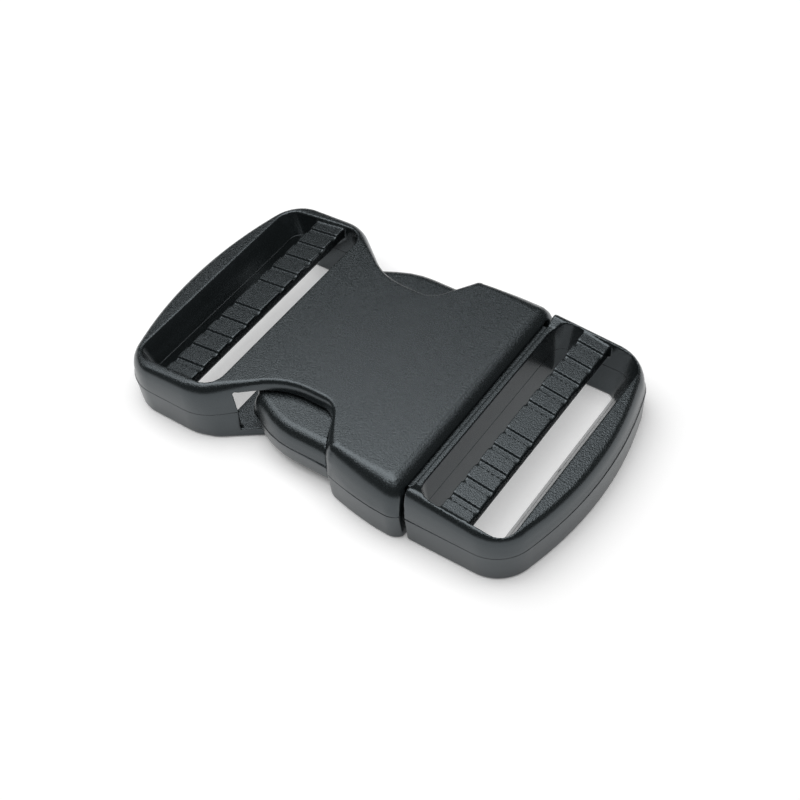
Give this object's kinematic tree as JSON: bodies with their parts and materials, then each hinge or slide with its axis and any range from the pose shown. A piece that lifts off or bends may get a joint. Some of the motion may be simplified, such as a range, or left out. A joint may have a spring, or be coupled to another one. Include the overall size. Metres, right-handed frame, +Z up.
{
  "type": "side-release buckle",
  "caption": "Moulded side-release buckle for flat webbing: a plug with sprung latch arms snaps into a waisted socket, and each end has a ribbed adjuster bar in an open slot.",
  "frame": {"origin": "middle of the underside, on the surface that the buckle lies on", "axes": "+X along the webbing from the socket to the plug, +Y across the webbing, +Z up through the deck"},
  "size_m": [0.0842, 0.0488, 0.0124],
  "materials": {
    "socket_acetal": "near-black moulded acetal with a fine spark-eroded grain",
    "plug_acetal": "near-black moulded acetal with a fine spark-eroded grain",
    "arm_acetal": "near-black moulded acetal, slightly smoother on the finger pads"
  },
  "bodies": {
    "socket": {"socket_body": "socket_acetal"},
    "plug": {"plug_frame": "plug_acetal"},
    "left_arm": {"left_latch_arm": "arm_acetal"},
    "right_arm": {"right_latch_arm": "arm_acetal"}
  },
  "joints": [
    {"name": "plug_slide", "type": "slide", "parent": "socket", "child": "plug", "axis": [1, 0, 0], "range_m": [0, 0.036], "deforming": ["left_latch_arm", "right_latch_arm"]},
    {"name": "left_arm_flex", "type": "hinge", "parent": "plug", "child": "left_arm", "pos_m": [0.0137, 0.01577, 0.00595], "axis": [0, 0, 1], "range_deg": [0, 20], "stiffness_Nm_per_rad": 0.8},
    {"name": "right_arm_flex", "type": "hinge", "parent": "plug", "child": "right_arm", "pos_m": [0.0137, -0.01577, 0.00595], "axis": [0, 0, -1], "range_deg": [0, 20], "stiffness_Nm_per_rad": 0.8}
  ]
}
